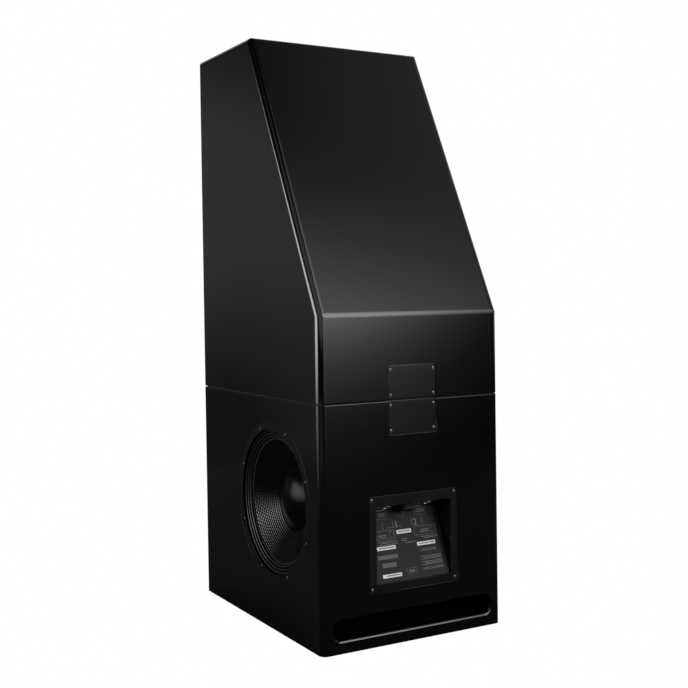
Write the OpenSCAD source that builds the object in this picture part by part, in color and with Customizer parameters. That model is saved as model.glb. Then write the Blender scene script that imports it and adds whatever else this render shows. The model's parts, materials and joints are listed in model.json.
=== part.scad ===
// Floor-standing subwoofer cabinet with a woofer in each side wall, carrying a main cabinet with a sloping back.
// +Z is up, the origin is the middle of the footprint on the floor, the front faces -Y and +X is the right side.

/* [Cabinets] */
// Width of both cabinets
cab_w = 500; // [490:5:520]
// Depth of both cabinets at the floor
cab_d = 670; // [660:5:700]
// Height of the whole stack
stack_h = 1458; // [1458:1:1470]
// Height of the lower cabinet's top face
lower_h = 566.5; // [566:0.5:568]
// Gap between the two cabinets
seam_gap = 3; // [2:0.5:4]
// Thickness of the cabinet boards
board = 20; // [18:1:20]
// Thickness of the lower base board
base_board = 18; // [16:1:18]
// Depth of the flat top before the back starts to slope
top_depth = 327; // [320:1:335]
// Height of the crease where the sloping back turns vertical
crease_h = 769; // [760:1:775]
// Radius of the rear and sloping side edges
edge_r = 17; // [12:1:17]
// Radius of the top edges
top_r = 14; // [6:1:14]

/* [Woofers] */
// Outer radius of a woofer's flange
flange_r = 198.2; // [196:0.1:198.2]
// Height of the side woofers' centre
side_woofer_z = 313; // [310:1:318]
// Distance of the side woofers' centre behind the middle of the cabinet
side_woofer_y = 89; // [80:1:95]
// Height of the front woofer's centre
front_woofer_z = 785; // [780:1:788]
// Radius of the cone's outer edge
cone_r = 155; // [153:1:155]
// Travel of a woofer cone each way
woofer_travel = 10; // [6:1:10]

/* [Waveguide] */
// Width and height of the moulded waveguide
guide_w = 440; // [436:1:440]
// Height of its centre
guide_z = 1222; // [1222:1:1224]
// Distance of the midrange drivers from the centre, sideways and up
mid_offset = 130; // [128:1:132]

/* [Port and terminals] */
// Width of the port duct
port_w = 434; // [400:2:434]
// Height of the port duct
port_h = 46; // [40:1:46]
// Length of the port duct
port_len = 413; // [300:1:420]
// Radius of the port mouth's flare
flare_r = 7; // [4:1:7]
// Width of the terminal tray's flange
tray_w = 245; // [240:1:250]
// Slope of the label plate, as depth gained per millimetre of height
plate_slope = 0.381; // [0.3:0.01:0.381]

/* [Hidden] */
SIDES = ["left", "right", "front"];
$fn = 96;
tiny = 0.05;
big = 2000;

// The outline of both cabinets, seen from the side
half_w = cab_w / 2;
rear_y = cab_d / 2;
front_y = -cab_d / 2;
inner_x = half_w - board;
upper_z = lower_h + seam_gap;
top_y = front_y + top_depth;
slope_run = rear_y - top_y;
slope_rise = stack_h - crease_h;
slope_len = norm([slope_run, slope_rise]);
slope_tilt = atan2(slope_run, slope_rise);
crease_drop = board * (1 - cos(slope_tilt)) / sin(slope_tilt);
crown_back = board * (1 - sin(slope_tilt)) / cos(slope_tilt);
front_r = 9;
seam_r = 2;
crease_r = 28;

// Woofer measures, along each driver's own axis from its flange face
flange_t = 6;
flange_hole_r = 176;
rebate_gap = 0.5;
basket_r = 177.7;
basket_hole_r = 172;
ledge_depth = 8.5;
basket_wall = 35;
bolt_circle = 185;
bolt_count = 8;
head_r = 5;
head_t = 4;
shank_r = 2.5;
cone_depth = 17;
neck_r = 50.1;
neck_depth = 76;
cone_t = 1.8;
cap_r = 75;
cap_rise = 22;
pan_r = 104;
pan_depth = 97;
pan_t = 8;
plate_depth = pan_depth + pan_t;
plate_t = 8;
magnet_t = 40;
back_t = 10;
pole_r = 48.9;
coil_r = 50;

// Waveguide and the drivers behind it
guide_t = 10;
guide_corner = 20;
guide_lip = 15;
horn_r = 108;
throat_r = 62;
horn_depth = 30;
mid_r = 70;
mid_cone_r = 50;
mid_hole_r = 57;
mid_travel = 3;
dome_r = 17;

// Port and terminal recess
port_z = 54;
port_corner = 16;
duct_wall = 9;
mouth_wall = 10;
tray_low = 124.5;
tray_high = 348;
tray_t = 4;
trim_drop = 1;
trim_gap = 0.8;
recess_half_w = 104;
recess_low = 142.5;
recess_high = 323.5;
recess_wall = 2.5;
plate_front = 6.95;
plate_thick = 1.5;
plate_tilt = atan(plate_slope);
plate_seat = plate_thick / cos(plate_tilt) + tiny;
socket_x = 57;
socket_out = 37.3;
socket_r = 13;
socket_bore = 11;
socket_deep = 16;
socket_drop = 1.5;
link_out = 30;
link_r = 19;
link_bore = 15;
link_deep = 20;
link_drop = 12.6;
socket_back = 26;
cover_half_w = 65;
cover_h = 78.5;
cover_t = 4;
cover_screw_x = 59.5;
upper_cover = upper_z + 0.5;
lower_cover = lower_h - 0.5 - cover_h;

function arc(c, r, from, to, steps = 10) =
    [for (i = [0:steps]) c + r * [cos(from + (to - from) * i / steps), sin(from + (to - from) * i / steps)]];

// The recess's sloping plate has its own directions: out from its face, and up along it. Its ceiling is square to it
tray_back = rear_y - trim_drop - tray_t;
function from_plate(out, up) = [
    rear_y - plate_front + out * cos(plate_tilt) - up * sin(plate_tilt),
    recess_low + out * sin(plate_tilt) + up * cos(plate_tilt)];
ceiling_up = (recess_high - recess_low) * cos(plate_tilt) - (tray_back - rear_y + plate_front) * sin(plate_tilt);

// A rectangle from -x to x and low to high, with its own radius at each corner: right low, right high,
// left high, left low
function soft_box(x0, x1, low, high, rl, rh, lh, ll) = concat(
    arc([x1 - rl, low + rl], rl, -90, 0), arc([x1 - rh, high - rh], rh, 0, 90),
    arc([x0 + lh, high - lh], lh, 90, 180), arc([x0 + ll, low + ll], ll, 180, 270));

module round_rect(w, h, r) {
    square([w - 2 * r, h], center = true);
    square([w, h - 2 * r], center = true);
    for (x = [-1, 1], y = [-1, 1]) translate([x * (w / 2 - r), y * (h / 2 - r)]) circle(r);
}

// Extrudes an outline drawn in Y and Z along X, and one drawn in X and Z along Y
module along_x(w) {
    rotate([90, 0, 90]) translate([0, 0, -w / 2]) linear_extrude(w) children();
}
module along_y(from, to) {
    translate([0, to, 0]) rotate([90, 0, 0]) linear_extrude(to - from) children();
}
module slab(x0, x1, y0, y1, z0, z1) {
    translate([x0, y0, z0]) cube([x1 - x0, y1 - y0, z1 - z0]);
}
module ring(outer, inner, low, high) {
    translate([0, 0, low]) difference() {
        cylinder(r = outer, h = high - low);
        translate([0, 0, -1]) cylinder(r = inner, h = high - low + 2);
    }
}

// The four rounded prisms whose common part is a cabinet's outer form
module plan_form(low, high) {
    translate([0, 0, low]) linear_extrude(high - low)
        polygon(soft_box(-half_w, half_w, front_y, rear_y, front_r, edge_r, edge_r, front_r));
}
module front_form(low, high, r) {
    along_y(front_y - 10, rear_y + 10)
        polygon(soft_box(-half_w, half_w, low, high, seam_r, r, r, seam_r));
}
module slope_form() {
    translate([0, rear_y, crease_h]) rotate([slope_tilt, 0, 0]) translate([0, 0, -big / 2])
        linear_extrude(big) polygon(soft_box(-half_w, half_w, -big, 0, 1, edge_r, edge_r, 1));
}
module upper_side_outline() {
    bend = crease_r * tan(slope_tilt / 2);
    crown = top_r * tan((90 - slope_tilt) / 2);
    polygon(concat(
        [[front_y + 1, upper_z], [rear_y - seam_r, upper_z], [rear_y, upper_z + seam_r]],
        arc([rear_y - crease_r, crease_h - bend], crease_r, 0, slope_tilt, 5),
        arc([top_y - crown, stack_h - top_r], top_r, slope_tilt, 90, 6),
        [[front_y + 3, stack_h], [front_y, stack_h - 3], [front_y, upper_z + 1]]));
}
module lower_form() {
    intersection() {
        plan_form(0, lower_h);
        front_form(-20, lower_h, seam_r);
        along_x(cab_w + 2) polygon(soft_box(front_y, rear_y, -20, lower_h, seam_r, seam_r, seam_r, seam_r));
    }
}
module upper_form() {
    intersection() {
        plan_form(upper_z, stack_h);
        front_form(upper_z, stack_h, top_r);
        slope_form();
        along_x(cab_w + 2) upper_side_outline();
    }
}

// Places a driver drawn along +Z with its flange face at z = 0
module at_driver(side) {
    if (side == "left") translate([-half_w, side_woofer_y, side_woofer_z]) rotate([0, -90, 0]) children();
    if (side == "right") translate([half_w, side_woofer_y, side_woofer_z]) rotate([0, 90, 0]) children();
    if (side == "front") translate([0, front_y, front_woofer_z]) rotate([90, 0, 0]) children();
}
module bolt_places() {
    for (i = [0:bolt_count - 1]) rotate(22.5 + i * 360 / bolt_count) translate([bolt_circle, 0, 0]) children();
}
module woofer_cutout() {
    translate([0, 0, -board - 5]) cylinder(r = 178, h = board + 10);
    translate([0, 0, -flange_t]) cylinder(r = flange_r + rebate_gap, h = flange_t + 5);
    bolt_places() translate([0, 0, -board + 1]) cylinder(r = shank_r + tiny, h = board);
}

// Lower cabinet boards
module lower_front_panel() {
    color("#1b1c1e") intersection() {
        lower_form();
        slab(-inner_x, inner_x, front_y, front_y + board, base_board, lower_h - board);
    }
}
module cover_rebate(low, under, over) {
    slab(-cover_half_w - trim_gap, cover_half_w + trim_gap, rear_y - trim_drop - cover_t, rear_y + 1, low - under,
        low + cover_h + over);
    for (x = [-1, 1], z = [10, cover_h - 10]) translate([x * cover_screw_x, rear_y - 15, low + z])
        rotate([-90, 0, 0]) cylinder(r = 2 + tiny, h = 14);
}
module lower_rear_panel() {
    color("#1b1c1e") difference() {
        intersection() {
            lower_form();
            slab(-inner_x, inner_x, rear_y - board, rear_y, base_board, lower_h - board);
        }
        cover_rebate(lower_cover, trim_gap, 2);
        along_y(rear_y - board - 1, rear_y + 1) translate([0, port_z])
            round_rect(port_w + 2 * mouth_wall + 0.1, port_h + 2 * mouth_wall + 0.1, port_corner + mouth_wall);
        slab(-tray_w / 2 - trim_gap, tray_w / 2 + trim_gap, tray_back, rear_y + 1, tray_low - trim_gap,
            tray_high + trim_gap);
        slab(-recess_half_w - 3.1, recess_half_w + 3.1, rear_y - board - 1, rear_y, recess_low - 3.1,
            recess_high + 5);
        tray_screw_places() translate([0, 0, -16]) cylinder(r = 2 + tiny, h = 17);
    }
}
module lower_left_panel() {
    color("#1b1c1e") difference() {
        intersection() {
            lower_form();
            slab(-half_w, -inner_x, front_y, rear_y, 0, lower_h);
        }
        at_driver("left") woofer_cutout();
    }
}
module lower_right_panel() {
    color("#1b1c1e") difference() {
        intersection() {
            lower_form();
            slab(inner_x, half_w, front_y, rear_y, 0, lower_h);
        }
        at_driver("right") woofer_cutout();
    }
}
module dowel_places() {
    for (x = [-190, 190], y = [-280, 280]) translate([x, y, 0]) children();
}
module lower_top_panel() {
    color("#1b1c1e") difference() {
        intersection() {
            lower_form();
            slab(-inner_x, inner_x, front_y, rear_y, lower_h - board, lower_h);
        }
        cover_rebate(lower_cover, trim_gap, 2);
        dowel_places() translate([0, 0, lower_h - 15]) cylinder(r = 6 + tiny, h = 20);
    }
}
module lower_base_panel() {
    color("#1b1c1e") intersection() {
        lower_form();
        slab(-inner_x, inner_x, front_y, rear_y, 0, base_board);
    }
}
module lower_brace() {
    color("#8a6f4c") difference() {
        slab(-inner_x, inner_x, -200, -182, base_board, lower_h - board);
        for (x = [-105, 105], z = [160, 405]) translate([x, -191, z]) cube([150, 40, 190], center = true);
    }
}
module alignment_dowels() {
    color("#b08a55") dowel_places() translate([0, 0, lower_h - 14.5]) cylinder(r = 6, h = 29 + seam_gap);
}
module seam_gasket() {
    color("#111112") difference() {
        slab(6 - half_w, half_w - 6, front_y + 8, rear_y - 6, lower_h, upper_z);
        slab(36 - half_w, half_w - 36, front_y + 38, rear_y - 36, lower_h - 1, upper_z + 1);
    }
}

// Slot port
module mouth_profile() {
    square([mouth_wall, board - flare_r]);
    translate([flare_r, 0]) square([mouth_wall - flare_r, board]);
    translate([flare_r, board - flare_r]) intersection() {
        circle(flare_r);
        translate([-flare_r, 0]) square(flare_r);
    }
}
module mouth_run(length) {
    rotate([90, 0, 90]) translate([0, 0, -length / 2]) linear_extrude(length) mouth_profile();
}
module port_mouth() {
    color("#141416") translate([0, rear_y - board, port_z]) rotate([-90, 0, 0]) {
        for (s = [0, 180]) rotate(s) {
            translate([0, port_h / 2, 0]) mouth_run(port_w - 2 * port_corner);
            rotate(90) translate([0, port_w / 2, 0]) mouth_run(port_h - 2 * port_corner);
        }
        for (x = [-1, 1], y = [-1, 1]) translate([x * (port_w / 2 - port_corner), y * (port_h / 2 - port_corner), 0])
            rotate(x * y > 0 ? (x > 0 ? 0 : 180) : (x > 0 ? 270 : 90)) rotate_extrude(angle = 90)
                translate([port_corner, 0]) mouth_profile();
    }
}
module port_duct() {
    color("#0d0d0e") difference() {
        slab(-port_w / 2 - duct_wall, port_w / 2 + duct_wall, rear_y - board - port_len, rear_y - board,
            base_board, port_z + port_h / 2 + 13);
        along_y(rear_y - board - port_len - 1, rear_y - board + 1) translate([0, port_z])
            round_rect(port_w, port_h, port_corner);
    }
}

// Terminal recess
module tray_screw_places() {
    for (x = [-115, 115], z = [133, 340]) translate([x, rear_y - trim_drop, z]) rotate([-90, 0, 0]) children();
}
module at_plate(out = 0, up = 0) {
    spot = from_plate(out, up);
    translate([0, spot[0], spot[1]]) rotate([plate_tilt, 0, 0]) children();
}
module recess_outline(wall, behind, reach) {
    polygon([
        [reach, recess_low - wall], [reach, recess_high + (wall > 0 ? wall + 1 : 0)],
        [tray_back, recess_high + wall / cos(plate_tilt)],
        from_plate(-behind * cos(plate_tilt), ceiling_up + wall),
        [rear_y - plate_front - behind, recess_low - wall]]);
}
module terminal_tray() {
    color("#202225") difference() {
        union() {
            along_y(tray_back, rear_y - trim_drop) translate([0, (tray_low + tray_high) / 2])
                round_rect(tray_w, tray_high - tray_low, 5);
            along_x(2 * (recess_half_w + recess_wall)) recess_outline(recess_wall, plate_seat + recess_wall,
                tray_back + 1);
        }
        along_x(2 * recess_half_w) recess_outline(0, plate_seat, rear_y + 6);
        tray_screw_places() {
            translate([0, 0, -tray_t - 1]) cylinder(r = 2 + tiny, h = tray_t + 2);
            translate([0, 0, -2.4]) cylinder(r = 4 + tiny, h = 4);
        }
        at_plate(socket_out, ceiling_up - 1) for (x = [-socket_x, socket_x])
            translate([x, 0, 0]) cylinder(r = socket_r + tiny, h = 8);
        at_plate(link_out, ceiling_up - 1) cylinder(r = link_r + tiny, h = 8);
    }
}
module terminal_label_plate() {
    color("#17181a") at_plate() slab(-recess_half_w + 1, recess_half_w - 1, -plate_thick, 0, 0.8, ceiling_up - 0.8);
}
module socket(r, bore, deep, drop) {
    difference() {
        translate([0, 0, -drop]) cylinder(r = r, h = drop + socket_back);
        translate([0, 0, -drop - 1]) cylinder(r = bore, h = deep + 1);
    }
}
module amp_sockets() {
    color("#b07a45") at_plate(socket_out, ceiling_up) for (x = [-socket_x, socket_x]) translate([x, 0, 0])
        socket(socket_r, socket_bore, socket_deep, socket_drop);
}
module link_socket() {
    color("#101011") at_plate(link_out, ceiling_up) socket(link_r, link_bore, link_deep, link_drop);
}
module screw(r, t, shank, length) {
    difference() {
        union() {
            translate([0, 0, -t]) cylinder(r = r, h = t);
            translate([0, 0, -length]) cylinder(r = shank, h = length - t + 1);
        }
        translate([0, 0, -t * 0.6]) cylinder(r = r * 0.5, h = t, $fn = 6);
    }
}
module tray_screws() {
    color("#c3c6ca") tray_screw_places() screw(4, 2.3, 2, 14);
}

// Joint cover plates
module cover_plate(low) {
    face = rear_y - trim_drop;
    color("#1d1e20") difference() {
        along_y(face - cover_t, face) translate([0, low + cover_h / 2]) round_rect(2 * cover_half_w, cover_h, 4);
        for (x = [-1, 1], z = [10, cover_h - 10]) translate([x * cover_screw_x, face, low + z]) rotate([90, 0, 0])
            translate([0, 0, -1]) {
                cylinder(r = 2 + tiny, h = cover_t + 2);
                cylinder(r = 4 + tiny, h = 3.4);
            }
    }
}
module upper_joint_plate() {
    cover_plate(upper_cover);
}
module lower_joint_plate() {
    cover_plate(lower_cover);
}
module joint_plate_screws() {
    color("#c3c6ca") for (low = [upper_cover, lower_cover], x = [-1, 1], z = [10, cover_h - 10])
        translate([x * cover_screw_x, rear_y - trim_drop, low + z]) rotate([-90, 0, 0]) screw(4, 2.3, 2, 13);
}

// Upper cabinet boards
module upper_board(x0, x1) {
    intersection() {
        upper_form();
        translate([(x0 + x1) / 2, 0, 0]) along_x(x1 - x0) children();
    }
}
module upper_left_panel() {
    color("#1b1c1e") upper_board(-half_w, -inner_x)
        polygon([[front_y, upper_z], [rear_y, upper_z], [rear_y, stack_h], [front_y, stack_h]]);
}
module upper_right_panel() {
    color("#1b1c1e") upper_board(inner_x, half_w)
        polygon([[front_y, upper_z], [rear_y, upper_z], [rear_y, stack_h], [front_y, stack_h]]);
}
module upper_top_panel() {
    color("#1b1c1e") upper_board(-inner_x, inner_x) polygon([
        [front_y + board, stack_h - board], [top_y - crown_back, stack_h - board], [top_y, stack_h],
        [front_y + board, stack_h]]);
}
module upper_slope_panel() {
    color("#1b1c1e") upper_board(-inner_x, inner_x) polygon([
        [top_y, stack_h], [top_y - crown_back, stack_h - board],
        [rear_y - board, crease_h - crease_drop], [rear_y, crease_h]]);
}
module upper_rear_panel() {
    color("#1b1c1e") difference() {
        upper_board(-inner_x, inner_x) polygon([
            [rear_y, crease_h], [rear_y - board, crease_h - crease_drop], [rear_y - board, upper_z + board],
            [rear_y, upper_z + board]]);
        cover_rebate(upper_cover, 2, trim_gap);
    }
}
module upper_base_panel() {
    color("#1b1c1e") difference() {
        upper_board(-inner_x, inner_x) polygon([
            [front_y + board, upper_z], [rear_y, upper_z], [rear_y, upper_z + board],
            [front_y + board, upper_z + board]]);
        cover_rebate(upper_cover, 2, trim_gap);
        dowel_places() translate([0, 0, upper_z - 1]) cylinder(r = 6 + tiny, h = 16);
    }
}
module upper_front_baffle() {
    lip = guide_w / 2 - guide_lip;
    color("#1b1c1e") difference() {
        upper_board(-inner_x, inner_x) polygon([
            [front_y, upper_z], [front_y + board, upper_z], [front_y + board, stack_h], [front_y, stack_h]]);
        at_driver("front") woofer_cutout();
        slab(-lip, lip, front_y - 1, front_y + board + 1, guide_z - lip, guide_z + lip);
        along_y(front_y - 1, front_y + guide_t) translate([0, guide_z])
            round_rect(guide_w + 0.6, guide_w + 0.6, guide_corner + 0.3);
    }
}
module upper_shelf() {
    shelf_z = 990;
    color("#8a6f4c") slab(-inner_x, inner_x, front_y + board, rear_y - 143, shelf_z, shelf_z + board);
}

// Waveguide with its five drivers, drawn along +Z with the plate's front face at z = 0
module at_guide() {
    translate([0, front_y, guide_z]) rotate([90, 0, 0]) children();
}
module mid_places(which = [0, 1, 2, 3]) {
    corners = [[-1, 1], [1, 1], [-1, -1], [1, -1]];
    for (i = which) translate([corners[i][0] * mid_offset, corners[i][1] * mid_offset, -guide_t]) children();
}
module waveguide() {
    color("#18191b") at_guide() {
        difference() {
            translate([0, 0, -guide_t]) linear_extrude(guide_t) round_rect(guide_w, guide_w, guide_corner);
            translate([0, 0, -guide_t - 1]) cylinder(r = horn_r, h = guide_t + 2);
            mid_places() {
                translate([0, 0, -1]) cylinder(r = mid_hole_r, h = guide_t + 2);
                translate([0, 0, 4]) cylinder(r1 = mid_hole_r - 0.01, r2 = mid_hole_r + 7, h = 7);
            }
        }
        rotate_extrude() polygon([
            [horn_r + 1, 0], [horn_r - 1, -1], [90, -8], [75, -17], [66, -25], [throat_r, -horn_depth],
            [throat_r + 12, -horn_depth], [throat_r + 16, -25], [84, -19], [98, -guide_t], [horn_r + 1, -guide_t]]);
    }
}
module mid_frame() {
    ring(mid_r, 55, -5, -0.2);
    ring(57, 53, -30, -5);
    ring(57, 14, -34, -30);
    difference() {
        translate([0, 0, -62]) cylinder(r = 42, h = 28);
        translate([0, 0, -54]) cylinder(r = 14, h = 30);
    }
    translate([0, 0, -54]) cylinder(r = 11.4, h = 24);
}
module mid_frames() {
    color("#2a2b2d") at_guide() mid_places() mid_frame();
}
module half_roll(r0, r1, z) {
    roll = (r1 - r0) / 2;
    rotate_extrude() polygon(concat(
        arc([r0 + roll, z], roll, 180, 0, 8), arc([r0 + roll, z], roll - 0.8, 0, 180, 8)));
}
module mid_surrounds() {
    color("#151516") at_guide() mid_places() half_roll(mid_cone_r + 0.4, 54.9, -4);
}
module mid_cone() {
    rotate_extrude() polygon([
        [mid_cone_r, -4], [mid_cone_r, -5], [30, -17], [12.9, -25], [12.9, -40], [12.3, -40], [12.3, -24.5],
        [16, -20], [8, -16.5], [0, -15], [0, -14], [8, -15.3], [17, -19], [30, -15.8]]);
}
module coax_frame() {
    color("#2a2b2d") at_guide() translate([0, 0, -horn_depth]) {
        ring(75, 57.5, -6, -0.2);
        ring(64, 60, -30, -6);
        ring(64, 26, -34, -30);
        ring(52, 26, -70, -34);
        translate([0, 0, -70]) cylinder(r = 23.6, h = 36);
        translate([0, 0, -78]) cylinder(r = 52, h = 8);
        ring(23.6, 18, -34, -27.4);
    }
}
module coax_surround() {
    color("#151516") at_guide() translate([0, 0, -horn_depth]) half_roll(51.4, 57.4, -5);
}
module coax_cone() {
    color("#232427") at_guide() translate([0, 0, -horn_depth]) rotate_extrude() polygon([
        [51, -5], [51, -6.2], [38, -13], [25.4, -21], [25.4, -44], [24.4, -44], [24.4, -20.5], [38, -11.8]]);
}
module tweeter_dome() {
    color("#3b3d40") at_guide() translate([0, 0, -horn_depth - 27]) rotate_extrude() polygon([
        [dome_r, -1], [dome_r, 0], [15, 3.2], [11, 6], [6, 7.9], [0, 8.6], [0, 7.9], [6, 7.2], [11, 5.3],
        [14.4, 2.8], [16.4, -1]]);
}

// One woofer, drawn along +Z with its flange face at z = 0
module flange() {
    difference() {
        union() {
            ring(flange_r, flange_hole_r, -flange_t, 0);
            ring(basket_r, flange_hole_r, -ledge_depth - 1, -head_t);
            ring(basket_r, basket_hole_r, -basket_wall, -ledge_depth);
        }
        bolt_places() {
            translate([0, 0, -flange_t - 1]) cylinder(r = shank_r + tiny, h = flange_t + 2);
            translate([0, 0, -head_t]) cylinder(r = head_r + tiny, h = head_t + 1);
        }
    }
}
module basket() {
    foot = [pan_r - 4, -pan_depth - 3];
    reach = [basket_r + 2, -basket_wall];
    run = norm(reach - foot);
    ring(pan_r, 55, -plate_depth, -pan_depth);
    ring(100, 90, -pan_depth, -pan_depth + 6);
    difference() {
        for (i = [0:7]) rotate(i * 45) translate([foot[0], -9, foot[1]])
            rotate([0, -atan2(reach[1] - foot[1], reach[0] - foot[0]), 0]) cube([run + 8, 18, 5]);
        translate([0, 0, -basket_wall]) cylinder(r = flange_r, h = basket_wall);
    }
}
function roll_line(r0, r1, z0, z1, rolls, amp, steps) = [
    for (i = [0:steps]) [r0 + (r1 - r0) * i / steps, z0 + (z1 - z0) * i / steps + amp * sin(rolls * 180 * i / steps)]];
function reversed(line) = [for (i = [len(line) - 1:-1:0]) line[i]];
function thickened(line, t) = concat(line, reversed([for (p = line) p - [0, t]]));
module surround() {
    rotate_extrude() polygon(thickened(
        roll_line(cone_r - 2, flange_hole_r - 0.1, -cone_depth + 0.3, -ledge_depth + 2.2, 5, 1.8, 30), 1));
    ring(flange_hole_r - 0.1, basket_hole_r - 0.3, -ledge_depth, -ledge_depth + 1.3);
}
module spider() {
    rotate_extrude() polygon(thickened(
        roll_line(coil_r + 0.3, 92, -pan_depth + 8.5, -pan_depth + 8.5, 8, 1.5, 32), 0.8));
    ring(99, 91.5, -pan_depth + 6, -pan_depth + 8.8);
}
module cone() {
    rotate_extrude() polygon([
        [neck_r, -neck_depth], [88, -51], [122, -33.5], [cone_r, -cone_depth], [cone_r, -cone_depth - cone_t],
        [122, -33.5 - cone_t], [88, -51 - cone_t], [neck_r, -neck_depth - cone_t]]);
}
module dust_cap() {
    dome = (cap_r * cap_r + cap_rise * cap_rise) / (2 * cap_rise);
    base = -neck_depth + 16.45;
    intersection() {
        translate([0, 0, base + cap_rise - dome]) difference() {
            sphere(dome);
            sphere(dome - 1.5);
        }
        translate([0, 0, base]) cylinder(r = cap_r + 5, h = cap_rise + 5);
    }
}
module voice_coil() {
    ring(coil_r, coil_r - 0.6, -125, -neck_depth - cone_t);
    ring(coil_r + 0.8, coil_r, -120, -98);
}
module motor() {
    ring(85, coil_r + 1.6, -plate_depth - plate_t, -plate_depth);
    ring(100, 56, -plate_depth - plate_t - magnet_t, -plate_depth - plate_t);
    translate([0, 0, -plate_depth - plate_t - magnet_t - back_t]) cylinder(r = 90, h = back_t);
    translate([0, 0, -plate_depth - plate_t - magnet_t]) cylinder(r = pole_r, h = plate_t + magnet_t);
}
module woofer_screws() {
    color("#0f0f10") for (side = SIDES) at_driver(side) bolt_places() screw(head_r, head_t - 0.05, shank_r, 18.5);
}
module woofer_piece(side, piece) {
    at_driver(side) {
        if (piece == "flange") color("#1d1e20") flange();
        if (piece == "basket") color("#1d1e20") basket();
        if (piece == "surround") color("#3a3b3d") surround();
        if (piece == "spider") color("#a9813f") spider();
        if (piece == "motor") color("#4a4b4e") motor();
        if (piece == "cone") color("#232427") cone();
        if (piece == "dust_cap") color("#202124") dust_cap();
        if (piece == "voice_coil") color("#a65b32") voice_coil();
    }
}

lower_front_panel();
lower_rear_panel();
lower_left_panel();
lower_right_panel();
lower_top_panel();
lower_base_panel();
lower_brace();
port_duct();
port_mouth();
terminal_tray();
terminal_label_plate();
amp_sockets();
link_socket();
tray_screws();
upper_joint_plate();
lower_joint_plate();
joint_plate_screws();
seam_gasket();
alignment_dowels();
upper_front_baffle();
upper_left_panel();
upper_right_panel();
upper_top_panel();
upper_slope_panel();
upper_rear_panel();
upper_base_panel();
upper_shelf();
waveguide();
woofer_screws();
woofer_piece("left", "flange");  // left_flange
woofer_piece("left", "basket");  // left_basket
woofer_piece("left", "surround");  // left_surround
woofer_piece("left", "spider");  // left_spider
woofer_piece("left", "motor");  // left_motor
woofer_piece("left", "cone");  // left_cone
woofer_piece("left", "dust_cap");  // left_dust_cap
woofer_piece("left", "voice_coil");  // left_voice_coil
woofer_piece("right", "flange");  // right_flange
woofer_piece("right", "basket");  // right_basket
woofer_piece("right", "surround");  // right_surround
woofer_piece("right", "spider");  // right_spider
woofer_piece("right", "motor");  // right_motor
woofer_piece("right", "cone");  // right_cone
woofer_piece("right", "dust_cap");  // right_dust_cap
woofer_piece("right", "voice_coil");  // right_voice_coil
woofer_piece("front", "flange");  // front_flange
woofer_piece("front", "basket");  // front_basket
woofer_piece("front", "surround");  // front_surround
woofer_piece("front", "spider");  // front_spider
woofer_piece("front", "motor");  // front_motor
woofer_piece("front", "cone");  // front_cone
woofer_piece("front", "dust_cap");  // front_dust_cap
woofer_piece("front", "voice_coil");  // front_voice_coil
mid_frames();
mid_surrounds();
color("#232427") at_guide() mid_places([0]) mid_cone();  // mid_1_cone
color("#232427") at_guide() mid_places([1]) mid_cone();  // mid_2_cone
color("#232427") at_guide() mid_places([2]) mid_cone();  // mid_3_cone
color("#232427") at_guide() mid_places([3]) mid_cone();  // mid_4_cone
coax_frame();
coax_surround();
coax_cone();
tweeter_dome();
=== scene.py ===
import json
import math

import bmesh
import bpy
from mathutils import Matrix, Vector


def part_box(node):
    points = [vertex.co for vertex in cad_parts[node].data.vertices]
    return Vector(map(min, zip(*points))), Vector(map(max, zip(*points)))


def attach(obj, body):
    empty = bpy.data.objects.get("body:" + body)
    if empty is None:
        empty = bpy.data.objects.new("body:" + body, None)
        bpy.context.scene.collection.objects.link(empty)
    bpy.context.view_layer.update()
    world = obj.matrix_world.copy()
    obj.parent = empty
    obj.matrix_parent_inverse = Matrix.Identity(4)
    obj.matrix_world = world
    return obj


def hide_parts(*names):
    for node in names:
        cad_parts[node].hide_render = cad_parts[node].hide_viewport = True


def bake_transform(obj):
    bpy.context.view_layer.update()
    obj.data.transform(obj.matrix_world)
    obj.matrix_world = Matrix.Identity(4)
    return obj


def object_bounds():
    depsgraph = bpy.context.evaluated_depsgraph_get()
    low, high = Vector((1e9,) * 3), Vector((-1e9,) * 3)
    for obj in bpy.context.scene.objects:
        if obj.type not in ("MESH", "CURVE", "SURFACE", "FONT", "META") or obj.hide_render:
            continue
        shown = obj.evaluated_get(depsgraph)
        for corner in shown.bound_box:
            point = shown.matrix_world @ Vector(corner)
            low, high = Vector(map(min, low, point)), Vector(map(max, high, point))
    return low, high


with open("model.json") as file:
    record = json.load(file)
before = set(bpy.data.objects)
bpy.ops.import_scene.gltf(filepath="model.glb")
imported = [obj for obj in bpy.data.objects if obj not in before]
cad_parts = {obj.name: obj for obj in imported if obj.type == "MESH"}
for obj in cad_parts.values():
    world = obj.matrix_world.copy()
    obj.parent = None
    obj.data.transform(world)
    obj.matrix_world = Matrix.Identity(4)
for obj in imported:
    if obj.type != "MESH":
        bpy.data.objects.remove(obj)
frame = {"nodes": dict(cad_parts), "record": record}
cad_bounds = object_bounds()
NODES = frame["nodes"]
MM = 0.001
ROOT = "cabinets"
SIDES = ("left", "right", "front")
OUTWARD = {"left": Vector((-1, 0, 0)), "right": Vector((1, 0, 0)), "front": Vector((0, -1, 0))}

# Ribs on each woofer's cone and rolls on its surround: how many, and the radii in mm that they lie between.
RIBS, RIBS_START, RIBS_END = 14, 79.0, 149.0
ROLLS, ROLLS_INNER, ROLLS_OUTER = 3, 153.2, 175.6


# ---------------------------------------------------------------- materials

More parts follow.
